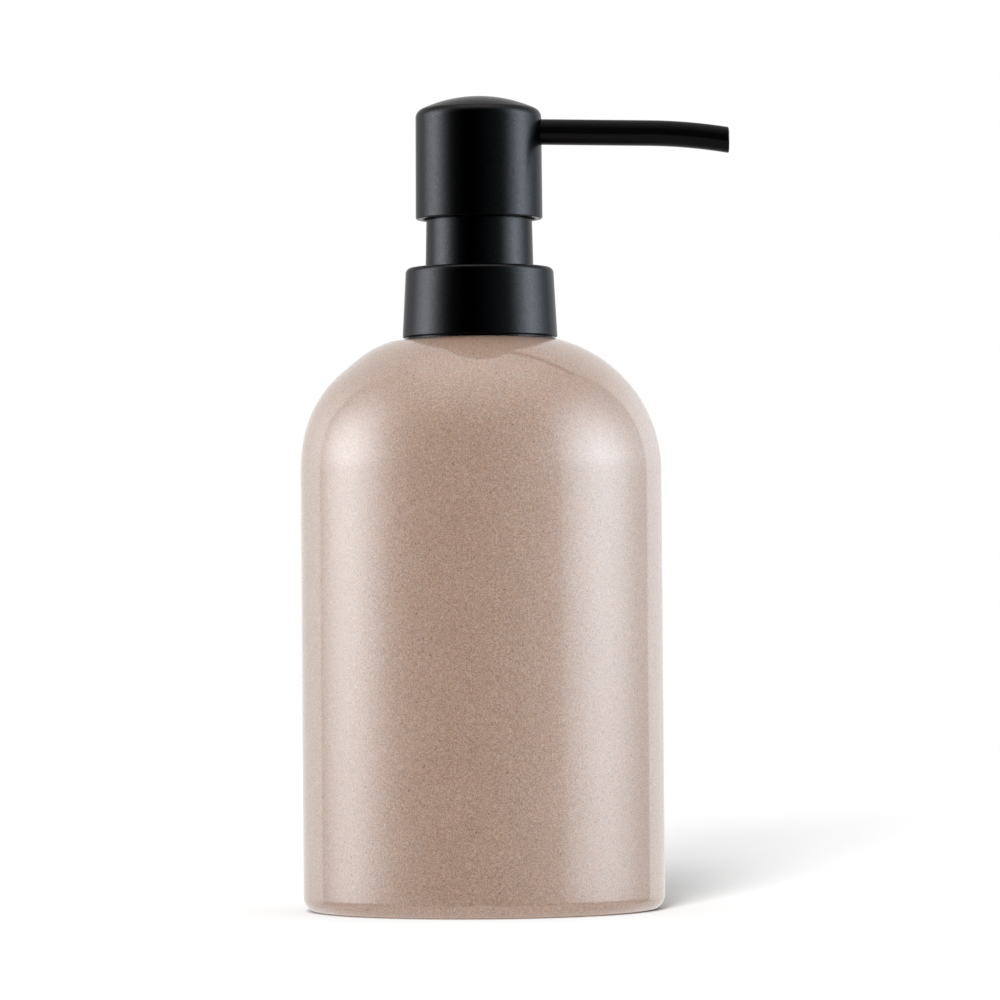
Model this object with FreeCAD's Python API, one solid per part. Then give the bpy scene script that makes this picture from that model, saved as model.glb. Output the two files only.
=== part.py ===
import FreeCAD, Part
import math
import os

# Soap pump dispenser: a glazed stoneware bottle with a screwed-in lotion pump.
# Millimetres. The pump's axis is +Z, the origin is the centre of the foot's resting plane,
# and the spout points along +X.

# Bottle
BODY_RADIUS = 37.5
WALL = 4.0
SHOULDER_RADIUS = 28.42
SHOULDER_Z = 90.88          # the straight wall ends here and the shoulder's round begins
SEAT_RADIUS = 16.2          # edge of the flat seat under the collar
MOUTH_RADIUS = 12.7
FOOT_ROUND = 3.2
FOOT_RING_INNER = 31.5
FOOT_RECESS = 2.2
FLOOR_Z = 6.5
FLOOR_ROUND = 6.0

# Thread of the 28 mm neck finish, right-handed
PITCH = 4.233
THREAD_TURNS = 1.25
THREAD_BOTTOM_Z = 121.2     # middle of both threads' lower ends
THREAD_START = 20.0         # degrees round the axis, the collar's thread starts half a turn on
INSERT_ROOT_RADIUS = 12.6
INSERT_CREST_RADIUS = 13.75
COLLAR_ROOT_RADIUS = 14.1
COLLAR_CREST_RADIUS = 12.95
INSERT_THREAD_WIDTHS = (2.1, 1.0)   # at the root and at the crest
COLLAR_THREAD_WIDTHS = (1.6, 0.8)
THREAD_BURY = 0.3           # how far a thread's root reaches into its wall

# Stack clamped by the collar, each piece lying on the one before
INSERT_PLUG_DEPTH = 8.0
INSERT_FLANGE_RADIUS = 13.8
INSERT_FLANGE = 1.0
INSERT_BORE_RADIUS = 10.4
LAND_HEIGHT = 10.0          # from the bottle's seat up to the insert's sealing land
GASKET = 1.0
GASKET_RADII = (10.6, 13.4)
HOUSING_FLANGE = 1.0
GUIDE_FLANGE = 1.0
FLANGE_RADIUS = 13.6
SLEEVE_FLANGE = 0.8
SLEEVE_FLANGE_RADIUS = 13.2

# Collar
COLLAR_GAP = 0.15           # between the collar's foot and the bottle's seat
COLLAR_FOOT = 0.3           # height of the foot, a step in from the collar's lower edge
COLLAR_FOOT_RADIUS = 15.1
COLLAR_TOP_THICKNESS = 1.2
COLLAR_BOTTOM_RADIUS = 16.1
COLLAR_TOP_RADIUS = 15.4
COLLAR_TOP_ROUND = 1.15
COLLAR_BOTTOM_ROUND = 0.3
COLLAR_HOLE_RADIUS = 11.5

# Neck sleeve
SLEEVE_TOP_Z = 147.5
SLEEVE_TOP_RADIUS = 10.93
SLEEVE_BOTTOM_RADIUS = 11.25
SLEEVE_BORE_RADIUS = 9.8
SLEEVE_ROUND = 0.5

# Push head
HEAD_RIM_Z = 143.5
HEAD_TOP_Z = 169.1
HEAD_RIM_RADIUS = 13.2
HEAD_SIDE_RADIUS = 13.1
HEAD_BORE_RADIUS = 11.75
DOME_RADIUS = 28.5
HEAD_EDGE_ROUND = 2.1
HEAD_WALL = 1.45
RIM_CHAMFER = 0.25
CORE_PLATE = 1.4
CORE_PLATE_RADIUS = 11.7
CORE_BOSS_RADIUS = 5.2
STROKE = 9.0

# Spout
SPOUT_RADIUS = 2.685
SPOUT_BORE_RADIUS = 2.085
SPOUT_START_X = 3.0
SPOUT_Z_AT_HEAD = 161.6     # the spout's centre line where it leaves the head
SPOUT_SLOPE = 1.0           # degrees below level, on the straight stretch
SPOUT_BEND_X = 35.4         # the long bend starts here
SPOUT_BEND_RADIUS = 110.0
SPOUT_TIP_X = 52.1
SPOUT_CHAMFER = 0.2
SAME_PLACE = 1e-4           # nearer than this counts as the same place
CHANNEL_WALL = 1.5          # of the head core round the spout

# Pump
PRESSED_CLEARANCE = 0.02    # between pieces pushed into each other
CYLINDER_BORE = 6.5
CYLINDER_WALL = 1.2
STEM_RADIUS = 3.6
STEM_BORE_RADIUS = 2.2
STEM_TOP_Z = 157.0
STEM_STOP_RADIUS = 5.0
STEM_STOP = 1.6
STEM_BOTTOM_Z = 122.4
RUNNING_CLEARANCE = 0.06
GUIDE_SKIRT = 3.4
GUIDE_TOP_Z = 136.0
GUIDE_SPIGOT_HEIGHT = 2.0
GUIDE_SPIGOT_WALL = 1.45
PISTON_SLIP = 1.0
PISTON_LENGTH = 8.0
PISTON_HUB_RADIUS = 3.7
PISTON_WEB = 2.0            # thickness of the web between the hub and the skirt
PISTON_SKIRT = 0.75
PISTON_FLARE_HEIGHT = 1.6   # of each wiper lip
PISTON_FLARE = 0.45         # how far a lip stands out from the skirt
PISTON_LIP_THICKNESS = 0.35
PIN_ARM_WIDTH = 1.2
PIN_ARM_RADIUS = 2.1
PIN_PLUG_RADIUS = 4.6
PIN_PLUG = 2.0
PIN_BARB_RADIUS = 2.4
PIN_BARB_Z = (124.6, 125.6)
VENT_RADIUS = 0.6
VENT_Z = 117.5

# Spring, inlet valve and dip tube
SPRING_SEAT_Z = 84.0
SPRING_RADIUS = 4.1
SPRING_WIRE_RADIUS = 0.45
SPRING_TURNS = 8
SPRING_SPIGOT_RADIUS = 3.5
CAGE_Z = 80.0
CAGE_BORE_RADIUS = 2.7
CAGE_BAR = 1.4
BALL_RADIUS = 2.5
BALL_CENTRE_Z = 74.06
BALL_LIFT = 1.5
VALVE_CHAMBER_RADIUS = 3.2
VALVE_SEAT_Z = 72.0
VALVE_PORT_RADIUS = 1.5
SOCKET_Z = (58.0, 70.0)
TUBE_RADIUS = 3.2
TUBE_BORE_RADIUS = 2.3
TUBE_BOTTOM_Z = 8.6
TUBE_CUT = 45.0             # degrees, the slant of the tube's foot

# Levels worked out from the values above
SEAT_Z = SHOULDER_Z + math.sqrt(
    SHOULDER_RADIUS ** 2 - (SEAT_RADIUS - BODY_RADIUS + SHOULDER_RADIUS) ** 2
)
LAND_Z = SEAT_Z + LAND_HEIGHT
HOUSING_FLANGE_Z = LAND_Z + GASKET
GUIDE_FLANGE_Z = HOUSING_FLANGE_Z + HOUSING_FLANGE
SLEEVE_FLANGE_Z = GUIDE_FLANGE_Z + GUIDE_FLANGE
COLLAR_CEILING_Z = SLEEVE_FLANGE_Z + SLEEVE_FLANGE
COLLAR_TOP_Z = COLLAR_CEILING_Z + COLLAR_TOP_THICKNESS
SKIRT_BOTTOM_Z = GUIDE_FLANGE_Z - GUIDE_SKIRT
PISTON_TOP_Z = STEM_BOTTOM_Z - PISTON_SLIP
PISTON_BOTTOM_Z = PISTON_TOP_Z - PISTON_LENGTH
PLUG_BOTTOM_Z = PISTON_BOTTOM_Z - PIN_PLUG
CORE_BOTTOM_Z = GUIDE_TOP_Z + STROKE
DOME_CENTRE_Z = HEAD_TOP_Z - DOME_RADIUS
INNER_DOME_RADIUS = DOME_RADIUS - HEAD_WALL


def vector(x, y, z):
    return FreeCAD.Vector(x, y, z)


def lathe(*steps):
    """Solid of revolution about Z. A step is a point (r, z), or a pair of points
    (via, end) for an arc from the last point."""
    edges = []
    first = last = vector(steps[0][0], 0, steps[0][1])
    for step in steps[1:] + (steps[0],):
        if isinstance(step[0], tuple):
            via = vector(step[0][0], 0, step[0][1])
            end = vector(step[1][0], 0, step[1][1])
            edges.append(Part.Arc(last, via, end).toShape())
        else:
            end = vector(step[0], 0, step[1])
            edges.append(Part.LineSegment(last, end).toShape())
        last = end
    assert last.isEqual(first, 1e-9)
    return Part.Face(Part.Wire(edges)).revolve(vector(0, 0, 0), vector(0, 0, 1), 360)


def on_circle(centre, radius, degrees):
    """The point (r, z) on a circle in the outline's plane."""
    angle = math.radians(degrees)
    return (centre[0] + radius * math.cos(angle), centre[1] + radius * math.sin(angle))


def round_corner(centre, radius, start, end):
    """Arc step about centre from one angle to another, in degrees."""
    return (
        on_circle(centre, radius, (start + end) / 2),
        on_circle(centre, radius, end),
    )


def rod(radius, low, high):
    return Part.makeCylinder(radius, high - low, vector(0, 0, low))


def ring(inner, outer, low, high):
    return rod(outer, low, high).cut(rod(inner, low, high))


def sphere(radius, centre_z):
    return Part.makeSphere(radius, vector(0, 0, centre_z))


def along_x(radius, start_x, end_x, z_at_start, slope=0.0):
    """Cylinder that runs along +X from the pump's axis side, falling by slope degrees."""
    direction = vector(math.cos(math.radians(slope)), 0, -math.sin(math.radians(slope)))
    return Part.makeCylinder(
        radius, (end_x - start_x) / direction.x, vector(start_x, 0, z_at_start), direction
    )


def thread(root, crest, widths, start_degrees):
    """Helical ridge with a trapezium section, its root buried in the wall beside it."""
    buried = root - math.copysign(THREAD_BURY, crest - root)
    corners = [
        vector(buried, 0, -widths[0] / 2),
        vector(root, 0, -widths[0] / 2),
        vector(crest, 0, -widths[1] / 2),
        vector(crest, 0, widths[1] / 2),
        vector(root, 0, widths[0] / 2),
        vector(buried, 0, widths[0] / 2),
    ]
    section = Part.makePolygon(corners + corners[:1])
    path = Part.Wire(Part.makeHelix(PITCH, PITCH * THREAD_TURNS, root))
    ridge = path.makePipeShell([section], True, True)
    ridge.rotate(vector(0, 0, 0), vector(0, 0, 1), start_degrees)
    ridge.translate(vector(0, 0, THREAD_BOTTOM_Z))
    return ridge


def bottle():
    """Slip-cast stoneware shell: straight wall, round shoulder, flat seat, recessed foot."""
    centre = (BODY_RADIUS - SHOULDER_RADIUS, SHOULDER_Z)
    inner_radius = SHOULDER_RADIUS - WALL
    seat_angle = math.degrees(math.acos((SEAT_RADIUS - centre[0]) / SHOULDER_RADIUS))
    mouth_angle = math.degrees(math.acos((MOUTH_RADIUS - centre[0]) / inner_radius))
    foot_centre = (BODY_RADIUS - FOOT_ROUND, FOOT_ROUND)
    floor_centre = (BODY_RADIUS - WALL - FLOOR_ROUND, FLOOR_Z + FLOOR_ROUND)
    recess_centre = (FOOT_RING_INNER - FOOT_RECESS, 0)
    return lathe(
        (0, FOOT_RECESS),
        (recess_centre[0], FOOT_RECESS),
        round_corner(recess_centre, FOOT_RECESS, 90, 0),
        (foot_centre[0], 0),
        round_corner(foot_centre, FOOT_ROUND, -90, 0),
        (BODY_RADIUS, SHOULDER_Z),
        round_corner(centre, SHOULDER_RADIUS, 0, seat_angle),
        (MOUTH_RADIUS, SEAT_Z),
        on_circle(centre, inner_radius, mouth_angle),
        round_corner(centre, inner_radius, mouth_angle, 0),
        (BODY_RADIUS - WALL, FLOOR_Z + FLOOR_ROUND),
        round_corner(floor_centre, FLOOR_ROUND, 0, -90),
        (0, FLOOR_Z),
    )


def neck_insert():
    """Threaded insert, glued in the bottle's mouth with its flange on the seat."""
    body = lathe(
        (INSERT_BORE_RADIUS, SEAT_Z - INSERT_PLUG_DEPTH),
        (INSERT_ROOT_RADIUS, SEAT_Z - INSERT_PLUG_DEPTH),
        (INSERT_ROOT_RADIUS, SEAT_Z),
        (INSERT_FLANGE_RADIUS, SEAT_Z),
        (INSERT_FLANGE_RADIUS, SEAT_Z + INSERT_FLANGE),
        (INSERT_ROOT_RADIUS, SEAT_Z + INSERT_FLANGE),
        (INSERT_ROOT_RADIUS, LAND_Z),
        (INSERT_BORE_RADIUS, LAND_Z),
    )
    ridge = thread(
        INSERT_ROOT_RADIUS, INSERT_CREST_RADIUS, INSERT_THREAD_WIDTHS, THREAD_START
    )
    return body.fuse(ridge)


def neck_gasket():
    return ring(GASKET_RADII[0], GASKET_RADII[1], LAND_Z, HOUSING_FLANGE_Z)


def collar():
    """Screw collar, slightly conical, its thread half a pitch away from the insert's."""
    bottom = SEAT_Z + COLLAR_GAP
    edge = bottom + COLLAR_FOOT
    low_centre = (COLLAR_BOTTOM_RADIUS - COLLAR_BOTTOM_ROUND, edge + COLLAR_BOTTOM_ROUND)
    high_centre = (COLLAR_TOP_RADIUS - COLLAR_TOP_ROUND, COLLAR_TOP_Z - COLLAR_TOP_ROUND)
    body = lathe(
        (COLLAR_ROOT_RADIUS, bottom),
        (COLLAR_FOOT_RADIUS, bottom),
        (COLLAR_FOOT_RADIUS, edge),
        (low_centre[0], edge),
        round_corner(low_centre, COLLAR_BOTTOM_ROUND, -90, 0),
        (COLLAR_TOP_RADIUS, high_centre[1]),
        round_corner(high_centre, COLLAR_TOP_ROUND, 0, 90),
        (COLLAR_HOLE_RADIUS, COLLAR_TOP_Z),
        (COLLAR_HOLE_RADIUS, COLLAR_CEILING_Z),
        (COLLAR_ROOT_RADIUS, COLLAR_CEILING_Z),
    )
    ridge = thread(
        COLLAR_ROOT_RADIUS, COLLAR_CREST_RADIUS, COLLAR_THREAD_WIDTHS, THREAD_START + 180
    )
    return body.fuse(ridge)


def neck_sleeve():
    """Drafted sleeve with a flange under the collar. The head slides over it."""
    top_centre = (SLEEVE_TOP_RADIUS - SLEEVE_ROUND, SLEEVE_TOP_Z - SLEEVE_ROUND)
    return lathe(
        (SLEEVE_BORE_RADIUS, SLEEVE_FLANGE_Z),
        (SLEEVE_FLANGE_RADIUS, SLEEVE_FLANGE_Z),
        (SLEEVE_FLANGE_RADIUS, COLLAR_CEILING_Z),
        (SLEEVE_BOTTOM_RADIUS, COLLAR_CEILING_Z),
        (SLEEVE_TOP_RADIUS, top_centre[1]),
        round_corner(top_centre, SLEEVE_ROUND, 0, 90),
        (SLEEVE_BORE_RADIUS, SLEEVE_TOP_Z),
    )


def stem_guide():
    """Chaplet: flange, skirt snapped into the cylinder, guide bore and the head's end stop."""
    bore = STEM_RADIUS + RUNNING_CLEARANCE
    flange = ring(bore, FLANGE_RADIUS, GUIDE_FLANGE_Z, SLEEVE_FLANGE_Z)
    skirt = ring(bore, CYLINDER_BORE - PRESSED_CLEARANCE, SKIRT_BOTTOM_Z, GUIDE_FLANGE_Z)
    tube = ring(bore, CORE_BOSS_RADIUS, SLEEVE_FLANGE_Z, GUIDE_TOP_Z)
    spigot = ring(
        SLEEVE_BORE_RADIUS - GUIDE_SPIGOT_WALL,
        SLEEVE_BORE_RADIUS - PRESSED_CLEARANCE,
        SLEEVE_FLANGE_Z,
        SLEEVE_FLANGE_Z + GUIDE_SPIGOT_HEIGHT,
    )
    return flange.fuse([skirt, tube, spigot]).removeSplitter()


def pump_housing():
    """Pump cylinder: flange, bore, valve seat and the dip tube's socket in one moulding."""
    outer = CYLINDER_BORE + CYLINDER_WALL
    socket_outer = TUBE_RADIUS + CYLINDER_WALL
    cone_top = VALVE_SEAT_Z + VALVE_CHAMBER_RADIUS - VALVE_PORT_RADIUS
    body = lathe(
        (TUBE_RADIUS, SOCKET_Z[0]),
        (socket_outer, SOCKET_Z[0]),
        (socket_outer, CAGE_Z - outer + socket_outer),
        (outer, CAGE_Z),
        (outer, HOUSING_FLANGE_Z),
        (FLANGE_RADIUS, HOUSING_FLANGE_Z),
        (FLANGE_RADIUS, GUIDE_FLANGE_Z),
        (CYLINDER_BORE, GUIDE_FLANGE_Z),
        (CYLINDER_BORE, CAGE_Z),
        (VALVE_CHAMBER_RADIUS, CAGE_Z),
        (VALVE_CHAMBER_RADIUS, cone_top),
        (VALVE_PORT_RADIUS, VALVE_SEAT_Z),
        (VALVE_PORT_RADIUS, SOCKET_Z[1]),
        (TUBE_RADIUS, SOCKET_Z[1]),
    )
    return body.cut(along_x(VENT_RADIUS, 0, FLANGE_RADIUS, VENT_Z))


def ball_cage():
    """Spring seat with a centring spigot. Its crossed bars and stub keep the ball in."""
    seat = ring(CAGE_BORE_RADIUS, CYLINDER_BORE - PRESSED_CLEARANCE, CAGE_Z, SPRING_SEAT_Z)
    spigot = ring(
        CAGE_BORE_RADIUS, SPRING_SPIGOT_RADIUS, SPRING_SEAT_Z, SPRING_SEAT_Z + CAGE_BAR
    )
    reach = (CAGE_BORE_RADIUS + SPRING_SPIGOT_RADIUS) / 2
    bar = Part.makeBox(
        2 * reach, CAGE_BAR, CAGE_BAR, vector(-reach, -CAGE_BAR / 2, CAGE_Z)
    )
    crossing = bar.copy()
    crossing.rotate(vector(0, 0, 0), vector(0, 0, 1), 90)
    ball_top = BALL_CENTRE_Z + BALL_RADIUS + BALL_LIFT
    stub = rod(CAGE_BAR, ball_top + RUNNING_CLEARANCE, CAGE_Z + CAGE_BAR)
    return seat.fuse([spigot, bar, crossing, stub]).removeSplitter()


def inlet_ball():
    return sphere(BALL_RADIUS, BALL_CENTRE_Z)


def dip_tube():
    """Suction tube, cut on the slant at its foot."""
    outer = TUBE_RADIUS - PRESSED_CLEARANCE
    tube = ring(TUBE_BORE_RADIUS, outer, TUBE_BOTTOM_Z, SOCKET_Z[1])
    size = 4 * TUBE_RADIUS
    block = Part.makeBox(2 * size, size, size, vector(-size, -size / 2, -size))
    block.rotate(vector(0, 0, 0), vector(0, 1, 0), -TUBE_CUT)
    block.translate(vector(0, 0, TUBE_BOTTOM_Z + TUBE_RADIUS))
    return tube.cut(block)


def return_spring():
    height = PLUG_BOTTOM_Z - SPRING_SEAT_Z - 2 * SPRING_WIRE_RADIUS
    start_z = SPRING_SEAT_Z + SPRING_WIRE_RADIUS
    path = Part.Wire(Part.makeHelix(height / SPRING_TURNS, height, SPRING_RADIUS))
    start = Part.Circle(vector(SPRING_RADIUS, 0, 0), vector(0, 1, 0), SPRING_WIRE_RADIUS)
    wire = path.makePipeShell([Part.Wire(start.toShape())], True, True)
    wire.translate(vector(0, 0, start_z))
    return wire


def cross_arms(radius, low, high):
    """Fluted length of the pin: two crossed plates inside a round."""
    plate = Part.makeBox(
        2 * radius, PIN_ARM_WIDTH, high - low, vector(-radius, -PIN_ARM_WIDTH / 2, low)
    )
    crossing = plate.copy()
    crossing.rotate(vector(0, 0, 0), vector(0, 0, 1), 90)
    return plate.fuse(crossing).common(rod(radius, low, high))


def valve_pin():
    """Fluted pin with a barb that clips into the stem and a plug that shuts the piston."""
    arms = cross_arms(PIN_ARM_RADIUS, PISTON_BOTTOM_Z, PIN_BARB_Z[1])
    barb = cross_arms(PIN_BARB_RADIUS, PIN_BARB_Z[0], PIN_BARB_Z[1])
    plug = rod(PIN_PLUG_RADIUS, PLUG_BOTTOM_Z, PISTON_BOTTOM_Z)
    spigot = rod(SPRING_SPIGOT_RADIUS, PLUG_BOTTOM_Z - CAGE_BAR, PLUG_BOTTOM_Z)
    return arms.fuse([barb, plug, spigot]).removeSplitter()


def piston():
    """Slip piston: a hub round the pin, and a thin skirt that flares into two wiper lips."""
    hub_bore = PIN_ARM_RADIUS + RUNNING_CLEARANCE
    lip = CYLINDER_BORE - RUNNING_CLEARANCE
    lip_inner = lip - PISTON_LIP_THICKNESS
    skirt_outer = lip - PISTON_FLARE
    skirt_inner = skirt_outer - PISTON_SKIRT
    web_low = (PISTON_TOP_Z + PISTON_BOTTOM_Z - PISTON_WEB) / 2
    web_high = web_low + PISTON_WEB
    low_flare = PISTON_BOTTOM_Z + PISTON_FLARE_HEIGHT
    high_flare = PISTON_TOP_Z - PISTON_FLARE_HEIGHT
    return lathe(
        (hub_bore, PISTON_BOTTOM_Z),
        (PISTON_HUB_RADIUS, PISTON_BOTTOM_Z),
        (PISTON_HUB_RADIUS, web_low),
        (skirt_inner, web_low),
        (skirt_inner, low_flare),
        (lip_inner, PISTON_BOTTOM_Z),
        (lip, PISTON_BOTTOM_Z),
        (skirt_outer, low_flare),
        (skirt_outer, high_flare),
        (lip, PISTON_TOP_Z),
        (lip_inner, PISTON_TOP_Z),
        (skirt_inner, high_flare),
        (skirt_inner, web_high),
        (PISTON_HUB_RADIUS, web_high),
        (PISTON_HUB_RADIUS, PISTON_TOP_Z),
        (hub_bore, PISTON_TOP_Z),
    )


def stem():
    """Hollow stem with the flange that stops under the guide and a groove for the barb."""
    groove_radius = PIN_BARB_RADIUS + RUNNING_CLEARANCE
    groove_low = PIN_BARB_Z[0] - RUNNING_CLEARANCE
    groove_high = PIN_BARB_Z[1] + RUNNING_CLEARANCE
    return lathe(
        (STEM_BORE_RADIUS, STEM_BOTTOM_Z),
        (STEM_RADIUS, STEM_BOTTOM_Z),
        (STEM_RADIUS, SKIRT_BOTTOM_Z - STEM_STOP),
        (STEM_STOP_RADIUS, SKIRT_BOTTOM_Z - STEM_STOP),
        (STEM_STOP_RADIUS, SKIRT_BOTTOM_Z),
        (STEM_RADIUS, SKIRT_BOTTOM_Z),
        (STEM_RADIUS, STEM_TOP_Z),
        (STEM_BORE_RADIUS, STEM_TOP_Z),
        (STEM_BORE_RADIUS, groove_high),
        (groove_radius, groove_high),
        (groove_radius, groove_low),
        (STEM_BORE_RADIUS, groove_low),
    )


def spout_line_z(x):
    """Height of the spout's straight centre line."""
    return SPOUT_Z_AT_HEAD - (x - HEAD_SIDE_RADIUS) * math.tan(math.radians(SPOUT_SLOPE))


def spout_pipe(radius):
    """Round bar along the spout's centre line: straight, then one long bend downwards."""
    start = vector(SPOUT_START_X, 0, spout_line_z(SPOUT_START_X))
    bend = vector(SPOUT_BEND_X, 0, spout_line_z(SPOUT_BEND_X))
    slope = math.radians(SPOUT_SLOPE)
    centre = bend + vector(-math.sin(slope), 0, -math.cos(slope)) * SPOUT_BEND_RADIUS
    past_tip = SPOUT_TIP_X + SPOUT_RADIUS
    sweep = math.asin((past_tip - centre.x) / SPOUT_BEND_RADIUS)
    points = [
        centre + vector(math.sin(a), 0, math.cos(a)) * SPOUT_BEND_RADIUS
        for a in ((slope + sweep) / 2, sweep)
    ]
    path = Part.Wire(
        [
            Part.LineSegment(start, bend).toShape(),
            Part.Arc(bend, points[0], points[1]).toShape(),
        ]
    )
    section = Part.Circle(start, bend - start, radius)
    return path.makePipeShell([Part.Wire(section.toShape())], True, False)


def spout():
    """Bent tube, cut upright at its tip, with the outer edge broken."""
    tube = spout_pipe(SPOUT_RADIUS).cut(spout_pipe(SPOUT_BORE_RADIUS))
    size = 8 * SPOUT_RADIUS
    corner = vector(SPOUT_TIP_X, -size / 2, SPOUT_Z_AT_HEAD - size / 2)
    tube = tube.cut(Part.makeBox(size, size, size, corner))
    wall_middle = (SPOUT_RADIUS + SPOUT_BORE_RADIUS) / 2
    tip_edges = [
        edge
        for edge in tube.Edges
        if edge.BoundBox.XMin > SPOUT_TIP_X - SAME_PLACE and edge.BoundBox.YMax > wall_middle
    ]
    return tube.makeChamfer(SPOUT_CHAMFER, tip_edges)


def head_shell():
    """Domed push head, open below, with a hole for the spout."""
    round_r = HEAD_SIDE_RADIUS - HEAD_EDGE_ROUND
    reach = DOME_RADIUS - HEAD_EDGE_ROUND
    edge_centre = (round_r, DOME_CENTRE_Z + math.sqrt(reach ** 2 - round_r ** 2))
    edge_angle = math.degrees(math.acos(round_r / reach))
    dome = (0, DOME_CENTRE_Z)
    bore_angle = math.degrees(math.acos(HEAD_BORE_RADIUS / INNER_DOME_RADIUS))
    body = lathe(
        (HEAD_BORE_RADIUS + RIM_CHAMFER, HEAD_RIM_Z),
        (HEAD_RIM_RADIUS - RIM_CHAMFER, HEAD_RIM_Z),
        (HEAD_RIM_RADIUS, HEAD_RIM_Z + RIM_CHAMFER),
        (HEAD_SIDE_RADIUS, edge_centre[1]),
        round_corner(edge_centre, HEAD_EDGE_ROUND, 0, edge_angle),
        round_corner(dome, DOME_RADIUS, edge_angle, 90),
        (0, DOME_CENTRE_Z + INNER_DOME_RADIUS),
        round_corner(dome, INNER_DOME_RADIUS, 90, bore_angle),
        (HEAD_BORE_RADIUS, HEAD_RIM_Z + RIM_CHAMFER),
    )
    hole = along_x(
        SPOUT_RADIUS + PRESSED_CLEARANCE,
        SPOUT_START_X,
        SPOUT_BEND_X,
        spout_line_z(SPOUT_START_X),
        SPOUT_SLOPE,
    )
    return body.cut(hole)


def head_core():
    """Inner part of the head: stem socket, turn of the channel and the spout's boss."""
    boss = rod(CORE_BOSS_RADIUS, CORE_BOTTOM_Z, HEAD_TOP_Z)
    start_z = spout_line_z(0)
    arm = along_x(SPOUT_RADIUS + CHANNEL_WALL, 0, HEAD_BORE_RADIUS, start_z, SPOUT_SLOPE)
    dome = sphere(INNER_DOME_RADIUS - RUNNING_CLEARANCE, DOME_CENTRE_Z)
    hollow = sphere(INNER_DOME_RADIUS - CORE_PLATE, DOME_CENTRE_Z)
    within = rod(CORE_PLATE_RADIUS, CORE_BOTTOM_Z, HEAD_TOP_Z)
    plate = dome.cut(hollow).common(within)
    body = plate.fuse([boss, arm]).common(dome).common(within)
    socket = rod(STEM_RADIUS + PRESSED_CLEARANCE, CORE_BOTTOM_Z, STEM_TOP_Z)
    riser = rod(STEM_BORE_RADIUS, STEM_TOP_Z, start_z)
    elbow = along_x(SPOUT_BORE_RADIUS, 0, SPOUT_START_X, start_z, SPOUT_SLOPE)
    seat = along_x(
        SPOUT_RADIUS + PRESSED_CLEARANCE,
        SPOUT_START_X,
        HEAD_RIM_RADIUS,
        spout_line_z(SPOUT_START_X),
        SPOUT_SLOPE,
    )
    return body.cut(socket.fuse([riser, elbow, seat])).removeSplitter()


def export(build):
    """Writes one piece to a file that has the function's name."""
    build().exportStep("parts/" + build.__name__ + ".step")


os.makedirs("parts", exist_ok=True)
for piece in (
    bottle,
    neck_insert,
    neck_gasket,
    collar,
    neck_sleeve,
    stem_guide,
    pump_housing,
    ball_cage,
    inlet_ball,
    dip_tube,
    return_spring,
    valve_pin,
    piston,
    stem,
    spout,
    head_shell,
    head_core,
):
    export(piece)
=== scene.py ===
"""Soap pump dispenser: looks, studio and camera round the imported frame. Metres, +Z up, spout along +X."""
import math

import bmesh
import bpy
from mathutils import Euler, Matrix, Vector


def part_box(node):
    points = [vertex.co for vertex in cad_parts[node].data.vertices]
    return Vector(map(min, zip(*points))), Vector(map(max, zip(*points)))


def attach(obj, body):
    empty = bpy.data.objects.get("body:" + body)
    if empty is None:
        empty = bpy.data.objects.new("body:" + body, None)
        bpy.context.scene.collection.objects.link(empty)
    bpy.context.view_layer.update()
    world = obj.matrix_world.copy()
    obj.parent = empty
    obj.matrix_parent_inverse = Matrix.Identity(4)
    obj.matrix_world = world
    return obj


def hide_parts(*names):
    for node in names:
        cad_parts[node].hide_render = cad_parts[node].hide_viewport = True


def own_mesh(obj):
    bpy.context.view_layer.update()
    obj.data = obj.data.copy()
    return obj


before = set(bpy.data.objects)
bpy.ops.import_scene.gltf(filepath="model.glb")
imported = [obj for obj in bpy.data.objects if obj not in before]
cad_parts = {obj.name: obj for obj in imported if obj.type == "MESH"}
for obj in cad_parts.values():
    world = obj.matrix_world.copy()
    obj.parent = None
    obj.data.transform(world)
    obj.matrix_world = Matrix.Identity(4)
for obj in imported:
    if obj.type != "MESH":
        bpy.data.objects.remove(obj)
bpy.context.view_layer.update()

MM = 0.001

# Bottle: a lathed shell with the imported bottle's outline and a slightly uneven shoulder
SHOULDER_RADIUS = 28.42 * MM
WALL = 4.0 * MM
SEAT_RADIUS = 16.2 * MM
MOUTH_RADIUS = 12.7 * MM
MOUTH_ROUND = 0.3 * MM
FOOT_ROUND = 3.2 * MM
FOOT_RING_INNER = 31.5 * MM
FOOT_RECESS = 2.2 * MM
FLOOR_THICKNESS = 4.3 * MM
FLOOR_ROUND = 6.0 * MM
BARE_CLAY_TO = 0.35 * MM    # the glaze stops this high above the foot
ALL_BARE_TO = 0.7 * BARE_CLAY_TO
GLAZE = 0.1 * MM            # the glaze stands this far out where it stops
GLAZE_LIP_FROM = 0.6 * BARE_CLAY_TO
BULGE = 0.47 * MM           # the shoulder is this much fuller on the side away from the spout
BULGE_GROWN = 28.0          # degrees up the shoulder where it is at its fullest
BULGE_CLEAR = 3.0 * MM      # it comes back to the seat over this distance
DIP = 0.6                   # share of the bulge that is missing in a shallow dip
DIP_AT = 50.0               # degrees up the shoulder
DIP_REACH = 14.0            # degrees to each side
STEPS_ROUND = 256           # round the axis
SHARP_EDGE = 40.0           # degrees between two faces, above which their edge isn't smoothed

# Return spring, with closed turns at both ends
SPRING_RADIUS = 4.1 * MM
WIRE_RADIUS = 0.45 * MM
ACTIVE_TURNS = 6.0
CLOSED_TURNS = 1.0
SPRING_STEPS = 40           # along one turn
WIRE_SIDES = 12

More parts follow.
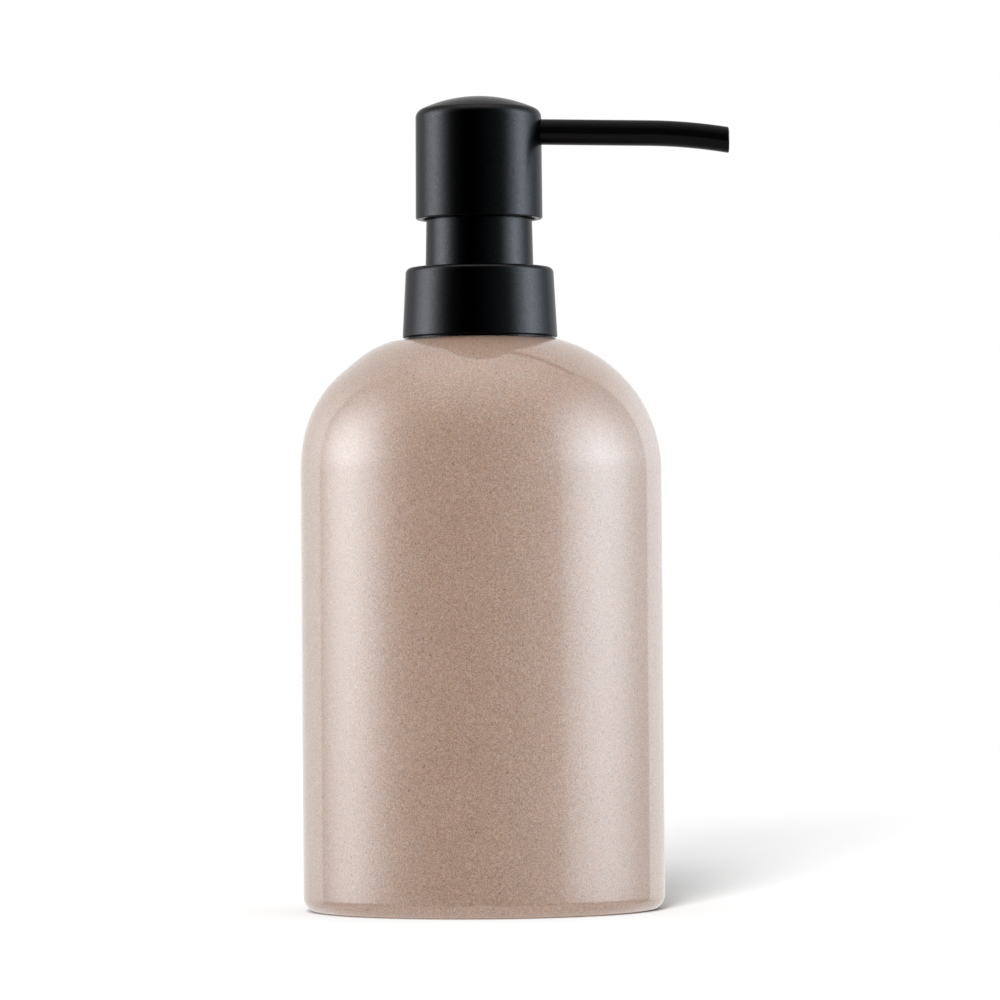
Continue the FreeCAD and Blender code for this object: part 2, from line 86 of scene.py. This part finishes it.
# Camera, level with the lower half of the bottle and pitched slightly up
CAMERA_DISTANCE = 1.112
EYE_HEIGHT = 0.061
LENS = 192.6                # millimetres, as is the sensor's width
SENSOR = 36.0
PITCH = math.radians(1.238)
YAW = math.radians(-0.2)
ROLL = math.radians(-0.45)
CLIP_NEAR = 0.05
CLIP_FAR = 50.0

# Studio, in degrees. Azimuths count from the camera's side of the object, positive to the right.
# A panel has a bright core in a wider glow, each fading out over its reach. In front of its hard
# edge only the share called spill is left. A span runs from where something starts to where it is full.
LEFT_PANEL = {
    "azimuth": -90.0, "core_reach": 38.0, "core": 3.65, "glow_reach": 66.0, "glow": 1.9,
    "colour": (0.94, 1.03, 1.10), "edge": -51.0, "spill": 0.72,
}
RIGHT_PANEL = {
    "azimuth": 79.5, "core_reach": 40.0, "core": 3.65, "glow_reach": 92.0, "glow": 2.1,
    "colour": (0.89, 1.05, 1.18), "edge": 52.0, "spill": 0.68,
}
PANEL_STRENGTH = 1.35
PANEL_FOOT_SPAN = (-14.0, 8.0)
PANEL_TOP_SPAN = (60.0, 4.0)
PANEL_EDGE_BLUR = 0.8
BACKDROP_LEFT = 125.0       # the white backdrop wraps round to here on each side
BACKDROP_RIGHT = 131.0
BACKDROP_BLUR = 1.0
BACKDROP = 0.92
OVERHEAD = 1.55
OVERHEAD_SPAN = (22.0, 85.0)
FLOOR_GLOW = 1.1
FLOOR_GLOW_SPAN = (-8.0, -25.0)
SOFT_FILL = 0.65            # even light for everything matt
FILL_ABOVE = 1.25           # and what is added to it overhead
FILL_ABOVE_SPAN = (10.0, 90.0)
KEY_AZIMUTH = -11.0         # a tall strip of light in front on the left throws the shadow
KEY_ANGLE = 16.0            # how wide each of its parts looks from the object
KEY_STRIP = ((9.0, 9.7), (30.0, 1.73), (44.0, 1.79))   # elevation and strength of its parts

# Floor
FLOOR_REACH = 6.0
FLOOR_WHITE = 0.466
FLOOR_MATT_TO = 0.9         # catches shadows up to here, plain white beyond
FLOOR_WHITE_FROM = 1.4


# ---------------------------------------------------------------- shapes
def smooth_step(value, low, high):
    """0 at low, 1 at high, smooth between. low may be above high."""
    share = min(max((value - low) / (high - low), 0.0), 1.0)
    return share * share * (3 - 2 * share)


def arc(centre, radius, start, end, steps):
    """Points (r, z) on a circle, from start to end in degrees, both included."""
    turns = [math.radians(start + (end - start) * step / steps) for step in range(steps + 1)]
    return [(centre[0] + radius * math.cos(turn), centre[1] + radius * math.sin(turn)) for turn in turns]


def straight(start, end, steps):
    """Points between start and end, neither included."""
    shares = [step / steps for step in range(1, steps)]
    return [tuple(a + (b - a) * share for a, b in zip(start, end)) for share in shares]


def pushed(point, centre, distance):
    """The point moved that far away from the centre."""
    whole = math.dist(point, centre)
    return tuple(a + (a - b) * distance / whole for a, b in zip(point, centre))


def finished(name, shape):
    """Mesh object from a bmesh, smooth but for its sharp edges."""
    bmesh.ops.recalc_face_normals(shape, faces=shape.faces)
    mesh = bpy.data.meshes.new(name)
    shape.to_mesh(mesh)
    shape.free()
    mesh.shade_smooth()
    mesh.set_sharp_from_angle(angle=math.radians(SHARP_EDGE))
    made = bpy.data.objects.new(name, mesh)
    bpy.context.scene.collection.objects.link(made)
    return made


def lathed(name, outline, shaped):
    """Closed surface of revolution. The outline starts and ends on the axis, and
    shaped(r, z, turn) gives each point's final (r, z)."""
    shape = bmesh.new()
    turns = [2 * math.pi * step / STEPS_ROUND for step in range(STEPS_ROUND)]
    ends = [shape.verts.new((0, 0, point[1])) for point in (outline[0], outline[-1])]
    rows = []
    for r, z in outline[1:-1]:
        places = [(turn, *shaped(r, z, turn)) for turn in turns]
        rows.append([
            shape.verts.new((out * math.cos(turn), out * math.sin(turn), up)) for turn, out, up in places
        ])
    for step in range(STEPS_ROUND):
        after = (step + 1) % STEPS_ROUND
        shape.faces.new((ends[0], rows[0][step], rows[0][after]))
        shape.faces.new((ends[1], rows[-1][after], rows[-1][step]))
        for low, high in zip(rows, rows[1:]):
            shape.faces.new((low[step], high[step], high[after], low[after]))
    return finished(name, shape)


def bottle():
    """Slip-cast shell with the glaze's edge above the foot and a slightly uneven shoulder."""
    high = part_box("bottle")[1]
    body_radius = high[0]
    seat_z = high[2]
    floor_z = FOOT_RECESS + FLOOR_THICKNESS
    centre_r = body_radius - SHOULDER_RADIUS
    seat_angle = math.degrees(math.acos((SEAT_RADIUS - centre_r) / SHOULDER_RADIUS))
    centre = (centre_r, seat_z - SHOULDER_RADIUS * math.sin(math.radians(seat_angle)))
    inner_radius = SHOULDER_RADIUS - WALL
    mouth_angle = math.degrees(math.acos((MOUTH_RADIUS - centre_r) / inner_radius))
    foot_centre = (body_radius - FOOT_ROUND, FOOT_ROUND)
    recess_centre = (FOOT_RING_INNER - FOOT_RECESS, 0.0)
    mouth_centre = (MOUTH_RADIUS + MOUTH_ROUND, seat_z - MOUTH_ROUND)
    floor_centre = (body_radius - WALL - FLOOR_ROUND, floor_z + FLOOR_ROUND)
    wall_low = (body_radius, FOOT_ROUND)
    wall_high = (body_radius, centre[1])

    outline = [(0.0, FOOT_RECESS)]
    outline += arc(recess_centre, FOOT_RECESS, 90, 0, steps=8)
    outline += straight((FOOT_RING_INNER, 0.0), (foot_centre[0], 0.0), steps=4)
    outline += arc(foot_centre, FOOT_ROUND, -90, 0, steps=24)
    outline += straight(wall_low, wall_high, steps=24)
    outline += arc(centre, SHOULDER_RADIUS, 0, seat_angle, steps=56)
    outline += arc(mouth_centre, MOUTH_ROUND, 90, 180, steps=4)
    outline += arc(centre, inner_radius, mouth_angle, 0, steps=28)
    outline += arc(floor_centre, FLOOR_ROUND, 0, -90, steps=8)
    outline += [(0.0, floor_z)]

    def shaped(r, z, turn):
        on_shoulder = z > centre[1] and math.dist((r, z), centre) > SHOULDER_RADIUS - WALL / 2
        on_foot = r > foot_centre[0] and z < foot_centre[1]
        if on_shoulder:
            rise = math.degrees(math.asin(min((z - centre[1]) / SHOULDER_RADIUS, 1)))
            dip = smooth_step(abs(rise - DIP_AT), DIP_REACH, 0)
            fuller = smooth_step(rise, 0, BULGE_GROWN) * (1 - DIP * dip)
            fuller *= ((1 - math.cos(turn)) / 2) ** 2       # none of it on the spout's side
            fuller *= smooth_step(r, SEAT_RADIUS, SEAT_RADIUS + BULGE_CLEAR)
            return pushed((r, z), centre, BULGE * fuller)
        if on_foot:
            coated = smooth_step(z, GLAZE_LIP_FROM, BARE_CLAY_TO) * smooth_step(z, FOOT_ROUND, 0)
            return pushed((r, z), foot_centre, GLAZE * coated)
        return r, z

    made = lathed("bottle_shell", outline, shaped)
    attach(made, "bottle")
    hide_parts("bottle")
    return made


def return_spring():
    """Compression spring wound with a closed turn at each end."""
    low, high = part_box("return_spring")
    turns = ACTIVE_TURNS + 2 * CLOSED_TURNS
    closed_pitch = 2 * WIRE_RADIUS
    rise = high[2] - low[2] - 2 * WIRE_RADIUS - 2 * CLOSED_TURNS * closed_pitch

    def height(turn):
        closed = min(turn, CLOSED_TURNS) + max(turn - CLOSED_TURNS - ACTIVE_TURNS, 0)
        active = min(max(turn - CLOSED_TURNS, 0), ACTIVE_TURNS)
        return low[2] + WIRE_RADIUS + closed * closed_pitch + rise * active / ACTIVE_TURNS

    shape = bmesh.new()
    upward = Vector((0, 0, 1))
    sides = [2 * math.pi * side / WIRE_SIDES for side in range(WIRE_SIDES)]
    rings = []
    for step in range(int(turns * SPRING_STEPS) + 1):
        turn = step / SPRING_STEPS
        outward = Vector((math.cos(2 * math.pi * turn), math.sin(2 * math.pi * turn), 0))
        centre = outward * SPRING_RADIUS + upward * height(turn)
        rings.append([
            shape.verts.new(centre + WIRE_RADIUS * (math.cos(side) * outward + math.sin(side) * upward))
            for side in sides
        ])
    for here, there in zip(rings, rings[1:]):
        for side in range(WIRE_SIDES):
            after = (side + 1) % WIRE_SIDES
            shape.faces.new((here[side], here[after], there[after], there[side]))
    shape.faces.new(rings[0])
    shape.faces.new(rings[-1])
    made = finished("coil_spring", shape)
    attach(made, "pump_unit")
    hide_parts("return_spring")
    return made


# ---------------------------------------------------------------- node helpers
class Nodes:
    """Short way to write a node tree: each call adds a node and links its inputs."""

    def __init__(self, tree):
        self.tree = tree
        tree.nodes.clear()

    def add(self, kind, inputs=None, **settings):
        node = self.tree.nodes.new(kind)
        for name, value in settings.items():
            setattr(node, name, value)
        for key, value in (inputs or {}).items():
            self.feed(node.inputs[key], value)
        return node

    def feed(self, socket, value):
        if isinstance(value, bpy.types.NodeSocket):
            self.tree.links.new(value, socket)
        else:
            socket.default_value = value

    def math(self, operation, a, b=0.0):
        return self.add("ShaderNodeMath", {0: a, 1: b}, operation=operation).outputs[0]

    def times(self, *values):
        result = values[0]
        for value in values[1:]:
            result = self.math("MULTIPLY", result, value)
        return result

    def total(self, *values):
        result = values[0]
        for value in values[1:]:
            result = self.math("ADD", result, value)
        return result

    def between(self, share, low, high):
        """low where the share is 0, high where it is 1."""
        return self.total(low, self.times(share, high - low))

    def step(self, value, low, high):
        """0 at low, 1 at high, smooth between. low may be above high."""
        node = self.add(
            "ShaderNodeMapRange",
            {"Value": value, "From Min": low, "From Max": high},
            interpolation_type="SMOOTHSTEP",
        )
        return node.outputs["Result"]

    def mix(self, factor, a, b, blend="MIX"):
        node = self.add("ShaderNodeMix", data_type="RGBA", blend_type=blend)
        self.feed(node.inputs[0], factor)
        self.feed(node.inputs[6], a)
        self.feed(node.inputs[7], b)
        return node.outputs[2]

    def scaled(self, strength, colour=(1.0, 1.0, 1.0)):
        """Light of that colour and strength, as a vector."""
        node = self.add("ShaderNodeVectorMath", {0: colour, "Scale": strength}, operation="SCALE")
        return node.outputs[0]

    def added(self, a, b):
        return self.add("ShaderNodeVectorMath", {0: a, 1: b}, operation="ADD").outputs[0]

    def noise(self, place, size, detail=2.0, roughness=0.5):
        """Noise whose features measure about size metres."""
        node = self.add(
            "ShaderNodeTexNoise",
            {"Vector": place, "Scale": 1 / size, "Detail": detail, "Roughness": roughness},
        )
        return node.outputs["Fac"]

    def specks(self, place, spacing, radius, share):
        """1 inside round specks of about that radius with soft rims, in the given share of cells."""
        cells = self.add("ShaderNodeTexVoronoi", {"Vector": place, "Scale": 1 / spacing})
        chance = self.add("ShaderNodeSeparateColor", {0: cells.outputs["Color"]}).outputs[0]
        inside = self.step(cells.outputs["Distance"], radius / spacing, 0.5 * radius / spacing)
        return self.times(inside, self.math("LESS_THAN", chance, share))

    def bump(self, height, distance):
        """Bump from a 0 to 1 height whose full swing is distance metres."""
        return self.add("ShaderNodeBump", {"Height": height, "Distance": distance}).outputs["Normal"]


def rgb(red, green, blue):
    return (red, green, blue, 1.0)


WHITE = rgb(1.0, 1.0, 1.0)


def material(name):
    """New material with one Principled shader: (material, nodes, shader, object coordinates)."""
    made = bpy.data.materials.new(name)
    made.use_nodes = True
    nodes = Nodes(made.node_tree)
    shader = nodes.add("ShaderNodeBsdfPrincipled")
    out = nodes.add("ShaderNodeOutputMaterial")
    nodes.tree.links.new(shader.outputs[0], out.inputs["Surface"])
    place = nodes.add("ShaderNodeTexCoord").outputs["Object"]
    return made, nodes, shader, place


def constants(shader, **values):
    """Values that are the same all over, set on the shader's own sockets."""
    for name, value in values.items():
        shader.inputs[name.replace("_", " ")].default_value = value


# ---------------------------------------------------------------- materials
def glazed_stoneware():
    """Fine speckled taupe body under clear gloss glaze, bare clay at the foot."""
    made, nodes, shader, place = material("glazed_stoneware")
    height = nodes.add("ShaderNodeSeparateXYZ", {0: place}).outputs[2]
    bare = nodes.step(height, BARE_CLAY_TO, ALL_BARE_TO)

    # Fine grains in two hues that drift, broad clouds, and two sizes of darker specks
    grain = nodes.step(nodes.noise(place, 0.27 * MM, detail=1.0, roughness=0.7), 0.22, 0.78)
    hue = nodes.step(nodes.noise(place, 1.7 * MM, detail=2.0), 0.36, 0.64)
    cloud = nodes.step(nodes.noise(place, 9 * MM, detail=3.0), 0.3, 0.7)
    dark = nodes.mix(hue, rgb(0.284, 0.166, 0.106), rgb(0.270, 0.170, 0.118))
    pale = nodes.mix(hue, rgb(0.566, 0.382, 0.290), rgb(0.548, 0.386, 0.308))
    body = nodes.mix(grain, dark, pale)
    body = nodes.mix(cloud, body, rgb(0.97, 0.96, 0.95), "MULTIPLY")
    body = nodes.mix(nodes.specks(place, 0.8 * MM, 0.18 * MM, 0.4), body, rgb(0.27, 0.160, 0.110))
    body = nodes.mix(nodes.specks(place, 1.5 * MM, 0.25 * MM, 0.25), body, rgb(0.20, 0.115, 0.078))
    clay = nodes.mix(grain, rgb(0.60, 0.36, 0.25), rgb(0.78, 0.55, 0.42))
    nodes.feed(shader.inputs["Base Color"], nodes.mix(bare, body, clay))
    nodes.feed(shader.inputs["Roughness"], nodes.between(bare, 0.5, 0.8))
    nodes.feed(shader.inputs["Coat Weight"], nodes.math("SUBTRACT", 1.0, bare))
    constants(shader, Coat_Roughness=0.02, Coat_IOR=1.5, Specular_IOR_Level=0.62)

    grit = nodes.bump(nodes.times(bare, grain), 0.03 * MM)
    nodes.feed(shader.inputs["Normal"], grit)
    peel = nodes.bump(nodes.noise(place, 2.6 * MM, detail=1.0), 0.003 * MM)
    nodes.feed(shader.inputs["Coat Normal"], peel)
    return made


def black_plastic():
    """Satin black polypropylene with a fine moulded grain: a dark reflector, almost black seen
    head-on, whose gloss grows as the surface slants away."""
    made, nodes, shader, place = material("black_plastic")
    grain = nodes.step(nodes.noise(place, 0.34 * MM, detail=2.0, roughness=0.6), 0.3, 0.7)
    rubbed = nodes.noise(place, 6 * MM, detail=3.0)
    facing = nodes.add("ShaderNodeLayerWeight", {"Blend": 0.5}).outputs["Facing"]
    sheen = nodes.step(facing, 0.04, 0.3)
    head_on = nodes.mix(grain, rgb(0.004, 0.004, 0.004), rgb(0.007, 0.007, 0.007))
    slanted = nodes.mix(grain, rgb(0.0205, 0.0190, 0.0192), rgb(0.0305, 0.0284, 0.0288))
    nodes.feed(shader.inputs["Base Color"], nodes.mix(sheen, head_on, slanted))
    nodes.feed(shader.inputs["Roughness"], nodes.between(rubbed, 0.21, 0.25))
    nodes.feed(shader.inputs["Normal"], nodes.bump(grain, 0.004 * MM))
    constants(shader, Metallic=1.0, Specular_Tint=rgb(0.6, 0.6, 0.6))
    return made


def gloss_black():
    """Glossy black coating on the spout's tube, drawn lengthways."""
    made, nodes, shader, place = material("gloss_black")
    along = nodes.add("ShaderNodeMapping", {"Vector": place, "Scale": (0.08, 1.0, 1.0)}).outputs[0]
    drawn = nodes.noise(along, 0.35 * MM, detail=2.0)
    colour = nodes.mix(drawn, rgb(0.0008, 0.0008, 0.0010), rgb(0.0018, 0.0018, 0.0022))
    nodes.feed(shader.inputs["Base Color"], colour)
    nodes.feed(shader.inputs["Roughness"], nodes.between(drawn, 0.12, 0.18))
    nodes.feed(shader.inputs["Normal"], nodes.bump(drawn, 0.001 * MM))
    constants(shader, Specular_IOR_Level=0.07)
    return made


def moulded(name, low, high, roughness, see_through=0.0):
    """Natural plastic of the pump's inner parts, with flow marks and a fine skin."""
    made, nodes, shader, place = material(name)
    flow = nodes.noise(place, 4 * MM, detail=4.0, roughness=0.6)
    skin = nodes.noise(place, 0.3 * MM, detail=2.0)
    nodes.feed(shader.inputs["Base Color"], nodes.mix(flow, low, high))
    nodes.feed(shader.inputs["Roughness"], nodes.between(skin, roughness, roughness + 0.08))
    nodes.feed(shader.inputs["Normal"], nodes.bump(skin, 0.004 * MM))
    constants(shader, Transmission_Weight=see_through, IOR=1.49)
    return made


def foam_seal():
    """Closed cell foam of the gasket."""
    made, nodes, shader, place = material("foam_seal")
    foam = nodes.add("ShaderNodeTexVoronoi", {"Vector": place, "Scale": 1 / (0.35 * MM)})
    cells = foam.outputs["Distance"]
    colour = nodes.mix(cells, rgb(0.58, 0.58, 0.55), rgb(0.76, 0.76, 0.72))
    nodes.feed(shader.inputs["Base Color"], colour)
    nodes.feed(shader.inputs["Normal"], nodes.bump(cells, 0.05 * MM))
    constants(shader, Roughness=0.8)
    return made


def stainless():
    """Bright steel of the spring and the ball, with fine drawing marks."""
    made, nodes, shader, place = material("stainless")
    marks = nodes.noise(place, 0.12 * MM, detail=3.0)
    colour = nodes.mix(marks, rgb(0.52, 0.52, 0.53), rgb(0.66, 0.66, 0.66))
    nodes.feed(shader.inputs["Base Color"], colour)
    nodes.feed(shader.inputs["Roughness"], nodes.between(marks, 0.16, 0.30))
    nodes.feed(shader.inputs["Normal"], nodes.bump(marks, 0.002 * MM))
    constants(shader, Metallic=1.0)
    return made


def assign(made, *pieces):
    """Give the material to each piece, as its only one."""
    for piece in pieces:
        piece.data.materials.clear()
        piece.data.materials.append(made)


def nodes_named(*names):
    """The carried-over CAD nodes of those names."""
    return [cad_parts[name] for name in names]


# ---------------------------------------------------------------- studio
def panel(nodes, azimuth, elevation, setup):
    """Upright light panel as glossy surfaces see it, from its setup."""
    off = nodes.math("ABSOLUTE", nodes.math("SUBTRACT", azimuth, setup["azimuth"]))
    core = nodes.times(nodes.step(off, setup["core_reach"], 0.0), setup["core"])
    glow = nodes.times(nodes.step(off, setup["glow_reach"], 0.0), setup["glow"])
    above_foot = nodes.step(elevation, *PANEL_FOOT_SPAN)
    below_top = nodes.step(elevation, *PANEL_TOP_SPAN)
    upward = nodes.times(above_foot, below_top, PANEL_STRENGTH)
    blur = math.copysign(PANEL_EDGE_BLUR, setup["azimuth"])
    in_front = nodes.step(azimuth, setup["edge"] + blur, setup["edge"] - blur)
    kept = nodes.math("SUBTRACT", 1.0, nodes.times(in_front, 1 - setup["spill"]))
    return nodes.scaled(nodes.times(nodes.total(core, glow), upward, kept), setup["colour"])


def studio_world():
    """White surroundings for the camera, an even fill for matt surfaces, and for glossy ones the
    studio's layout: a panel on each side, a white backdrop behind, light overhead, dark in front."""
    world = bpy.data.worlds.new("studio")
    bpy.context.scene.world = world
    world.use_nodes = True
    world.cycles.sampling_method = "NONE"      # what it shows depends on the kind of ray
    nodes = Nodes(world.node_tree)
    direction = nodes.add("ShaderNodeTexCoord").outputs["Generated"]
    x, y, z = nodes.add("ShaderNodeSeparateXYZ", {0: direction}).outputs
    azimuth = nodes.math("DEGREES", nodes.math("ARCTAN2", x, nodes.math("MULTIPLY", y, -1.0)))
    elevation = nodes.math("DEGREES", nodes.math("ARCSINE", z))

    left = panel(nodes, azimuth, elevation, LEFT_PANEL)
    right = panel(nodes, azimuth, elevation, RIGHT_PANEL)
    behind = nodes.math(
        "MAXIMUM",
        nodes.step(azimuth, -BACKDROP_LEFT + BACKDROP_BLUR, -BACKDROP_LEFT - BACKDROP_BLUR),
        nodes.step(azimuth, BACKDROP_RIGHT - BACKDROP_BLUR, BACKDROP_RIGHT + BACKDROP_BLUR),
    )
    behind = nodes.times(behind, BACKDROP)
    above = nodes.times(nodes.step(elevation, *OVERHEAD_SPAN), OVERHEAD)
    below = nodes.times(nodes.step(elevation, *FLOOR_GLOW_SPAN), FLOOR_GLOW)
    plain = nodes.math("MAXIMUM", nodes.math("MAXIMUM", behind, above), below)
    glossy = nodes.added(nodes.added(left, right), nodes.scaled(plain))
    overhead = nodes.times(nodes.step(elevation, *FILL_ABOVE_SPAN), FILL_ABOVE)
    fill = nodes.scaled(nodes.total(SOFT_FILL, overhead))

    rays = nodes.add("ShaderNodeLightPath").outputs
    seen = nodes.mix(rays["Is Glossy Ray"], fill, glossy)
    seen = nodes.mix(rays["Is Camera Ray"], seen, WHITE)
    background = nodes.add("ShaderNodeBackground", {"Color": seen, "Strength": 1.0})
    out = nodes.add("ShaderNodeOutputWorld")
    nodes.tree.links.new(background.outputs[0], out.inputs["Surface"])


def floor():
    """Pale floor: it catches the shadow near the object and is plain white further off."""
    mesh = bpy.data.meshes.new("floor")
    corners = [(x * FLOOR_REACH, y * FLOOR_REACH, 0) for x, y in ((-1, -1), (1, -1), (1, 1), (-1, 1))]
    mesh.from_pydata(corners, [], [(0, 1, 2, 3)])
    made = bpy.data.objects.new("floor", mesh)
    bpy.context.scene.collection.objects.link(made)
    made.visible_glossy = False
    surface = bpy.data.materials.new("floor")
    surface.use_nodes = True
    nodes = Nodes(surface.node_tree)
    place = nodes.add("ShaderNodeTexCoord").outputs["Object"]
    distance = nodes.add("ShaderNodeVectorMath", {0: place}, operation="LENGTH").outputs["Value"]
    far = nodes.step(distance, FLOOR_MATT_TO, FLOOR_WHITE_FROM)
    matt = nodes.add("ShaderNodeBsdfDiffuse", {"Color": rgb(FLOOR_WHITE, FLOOR_WHITE, FLOOR_WHITE)})
    white = nodes.add("ShaderNodeEmission", {"Color": WHITE, "Strength": 1.0})
    mixed = nodes.add("ShaderNodeMixShader", {0: far, 1: matt.outputs[0], 2: white.outputs[0]})
    out = nodes.add("ShaderNodeOutputMaterial")
    nodes.tree.links.new(mixed.outputs[0], out.inputs["Surface"])
    mesh.materials.append(surface)
    return made


def key_lights(ground):
    """Strip of light in front on the left that lights the floor alone, for the object's shadow."""
    lit = bpy.data.collections.new("lit_by_key")
    lit.objects.link(ground)
    for number, (elevation, strength) in enumerate(KEY_STRIP):
        data = bpy.data.lights.new(f"key_{number}", "SUN")
        data.angle = math.radians(KEY_ANGLE)
        data.energy = strength
        lamp = bpy.data.objects.new(data.name, data)
        bpy.context.scene.collection.objects.link(lamp)
        lamp.rotation_euler = (math.radians(90 - elevation), 0, math.radians(KEY_AZIMUTH))
        lamp.light_linking.receiver_collection = lit


def camera():
    """Long lens at the height of the bottle's lower half, turned from level by about a degree."""
    data = bpy.data.cameras.new("camera")
    data.lens = LENS
    data.sensor_width = SENSOR
    data.clip_start = CLIP_NEAR
    data.clip_end = CLIP_FAR
    made = bpy.data.objects.new("camera", data)
    bpy.context.scene.collection.objects.link(made)
    made.location = (0, -CAMERA_DISTANCE, EYE_HEIGHT)
    look = Euler((math.pi / 2 + PITCH, 0, YAW)).to_matrix()
    made.rotation_euler = (look @ Euler((0, 0, ROLL)).to_matrix()).to_euler()
    bpy.context.scene.camera = made


# ---------------------------------------------------------------- the scene
assign(glazed_stoneware(), bottle())
assign(black_plastic(), *nodes_named("collar", "neck_sleeve", "head_shell", "head_core"))
assign(gloss_black(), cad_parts["spout"])
assign(
    moulded("white_plastic", rgb(0.74, 0.74, 0.71), rgb(0.84, 0.84, 0.82), 0.3),
    *nodes_named("neck_insert", "stem_guide", "pump_housing", "ball_cage", "valve_pin", "piston", "stem"),
)
assign(
    moulded("clear_tube", rgb(0.8, 0.82, 0.81), rgb(0.9, 0.92, 0.91), 0.22, see_through=0.7),
    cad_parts["dip_tube"],
)
assign(foam_seal(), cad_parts["neck_gasket"])
spring = return_spring()
assign(stainless(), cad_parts["inlet_ball"], spring)
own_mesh(spring)

studio_world()
key_lights(floor())
camera()
bpy.context.scene.view_settings.view_transform = "Standard"
